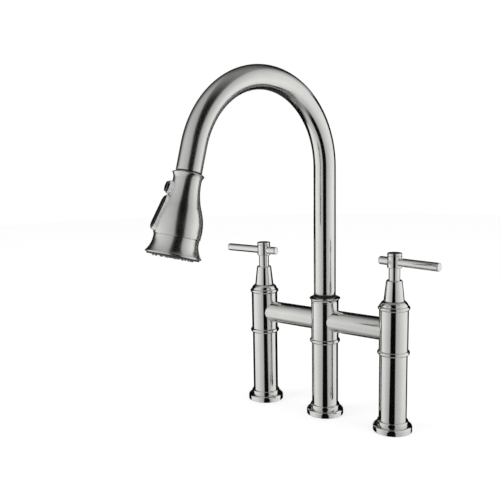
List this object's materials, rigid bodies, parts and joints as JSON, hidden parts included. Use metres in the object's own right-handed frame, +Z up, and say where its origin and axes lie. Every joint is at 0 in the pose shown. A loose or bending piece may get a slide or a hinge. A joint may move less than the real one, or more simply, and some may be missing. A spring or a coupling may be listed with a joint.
{
  "type": "bridge kitchen faucet",
  "caption": "Brushed bridge kitchen faucet: valve columns with cross levers joined by a bridge to a swivelling gooseneck with a pull-down spray head.",
  "frame": {"origin": "on the deck at the axis of the centre column, at the mouth of its threaded socket", "axes": "+X along the bridge to the cold-side column, -Y to the front where the spout reaches, +Z up"},
  "size_m": [0.33, 0.2984, 0.461],
  "materials": {
    "brushed_nickel": "brushed nickel plate, satin",
    "bright_bezel": "bright plated trim",
    "brass": "machined brass",
    "steel": "stainless, machined",
    "ceramic_disc": "lapped ceramic",
    "seal_rubber": "moulded rubber",
    "dark_acetal": "moulded acetal",
    "bearing_plastic": "moulded acetal",
    "core_plastic": "moulded plastic",
    "black_gloss": "gloss black moulding",
    "face_plastic": "black moulding",
    "nozzle_rubber": "soft moulded nozzles",
    "hose_braid": "braided nylon over hose"
  },
  "bodies": {
    "base": {"centre_base_flange": "brushed_nickel", "centre_post": "brushed_nickel", "tee_body": "brushed_nickel", "left_base_flange": "brushed_nickel", "left_post": "brushed_nickel", "left_inlet_tube": "brass", "left_valve_body": "brushed_nickel", "left_cartridge": "brass", "left_bonnet": "brushed_nickel", "right_base_flange": "brushed_nickel", "right_post": "brushed_nickel", "right_inlet_tube": "brass", "right_valve_body": "brushed_nickel", "right_cartridge": "brass", "right_bonnet": "brushed_nickel", "base_gaskets": "seal_rubber", "column_beads": "brushed_nickel", "seat_seals": "seal_rubber", "fixed_discs": "ceramic_disc", "left_bridge_tube": "brushed_nickel", "right_bridge_tube": "brushed_nickel", "bridge_seals": "seal_rubber", "hose_sleeve": "brass", "spout_spigot": "brass", "spout_collar": "brushed_nickel", "spout_washer": "dark_acetal"},
    "spout": {"spout_tube": "brushed_nickel", "spout_bush": "bearing_plastic", "hose_riser": "hose_braid", "dock_bush": "dark_acetal"},
    "left_handle": {"left_moving_disc": "ceramic_disc", "left_spindle": "brass", "left_handle_skirt": "brushed_nickel", "left_handle_hub": "brushed_nickel", "left_hub_cap": "brushed_nickel", "left_lever": "brushed_nickel", "left_grub_screw": "steel"},
    "right_handle": {"right_moving_disc": "ceramic_disc", "right_spindle": "brass", "right_handle_skirt": "brushed_nickel", "right_handle_hub": "brushed_nickel", "right_hub_cap": "brushed_nickel", "right_lever": "brushed_nickel", "right_grub_screw": "steel"},
    "hose_end": {"hose_tip": "hose_braid", "hose_ferrule": "steel"},
    "spray_head": {"hose_nut": "brass", "head_collar": "brushed_nickel", "head_core": "core_plastic", "head_shell": "brushed_nickel", "head_skirt": "brushed_nickel", "spray_face": "face_plastic", "aerator": "face_plastic", "spray_nozzles": "nozzle_rubber", "rocker_bezel": "bright_bezel", "rocker_pin": "steel", "button_bezel": "bright_bezel"},
    "rocker": {"rocker": "black_gloss"},
    "pause_button": {"pause_button": "black_gloss"},
    "diverter_spool": {"diverter_spool": "core_plastic"}
  },
  "joints": [
    {"name": "spout_swivel", "type": "hinge", "parent": "base", "child": "spout", "pos_m": [0, 0, 0], "axis": [0, 0, 1], "continuous": true},
    {"name": "left_handle_turn", "type": "hinge", "parent": "base", "child": "left_handle", "pos_m": [-0.1016, 0, 0], "axis": [0, 0, 1], "range_deg": [0, 90]},
    {"name": "right_handle_turn", "type": "hinge", "parent": "base", "child": "right_handle", "pos_m": [0.1016, 0, 0], "axis": [0, 0, -1], "range_deg": [-9, 81]},
    {"name": "head_pull", "type": "slide", "parent": "spout", "child": "hose_end", "axis": [-0.0476, -0.263, -0.9636], "range_m": [0, 0.22], "stiffness_N_per_m": 10, "springref_m": -0.7, "deforming": ["hose_tip"]},
    {"name": "head_spin", "type": "hinge", "parent": "hose_end", "child": "spray_head", "pos_m": [-0.03954, -0.21866, 0.33824], "axis": [-0.0476, -0.263, -0.9636], "continuous": true},
    {"name": "rocker_tip", "type": "hinge", "parent": "spray_head", "child": "rocker", "pos_m": [-0.05289, -0.24944, 0.2951], "axis": [-0.8572, 0.5059, -0.0958], "range_deg": [-5, 5]},
    {"name": "pause_press", "type": "slide", "parent": "spray_head", "child": "pause_button", "axis": [0.505, 0.7895, -0.3488], "range_m": [0, 0.002], "stiffness_N_per_m": 300, "springref_m": -0.003},
    {"name": "diverter_shift", "type": "slide", "parent": "spray_head", "child": "diverter_spool", "axis": [-0.0476, -0.263, -0.9636], "range_m": [-0.0013, 0.0013]}
  ],
  "couplings": [
    {"joint": "diverter_shift", "follows": "rocker_tip", "m_per_rad": 0.011043}
  ]
}
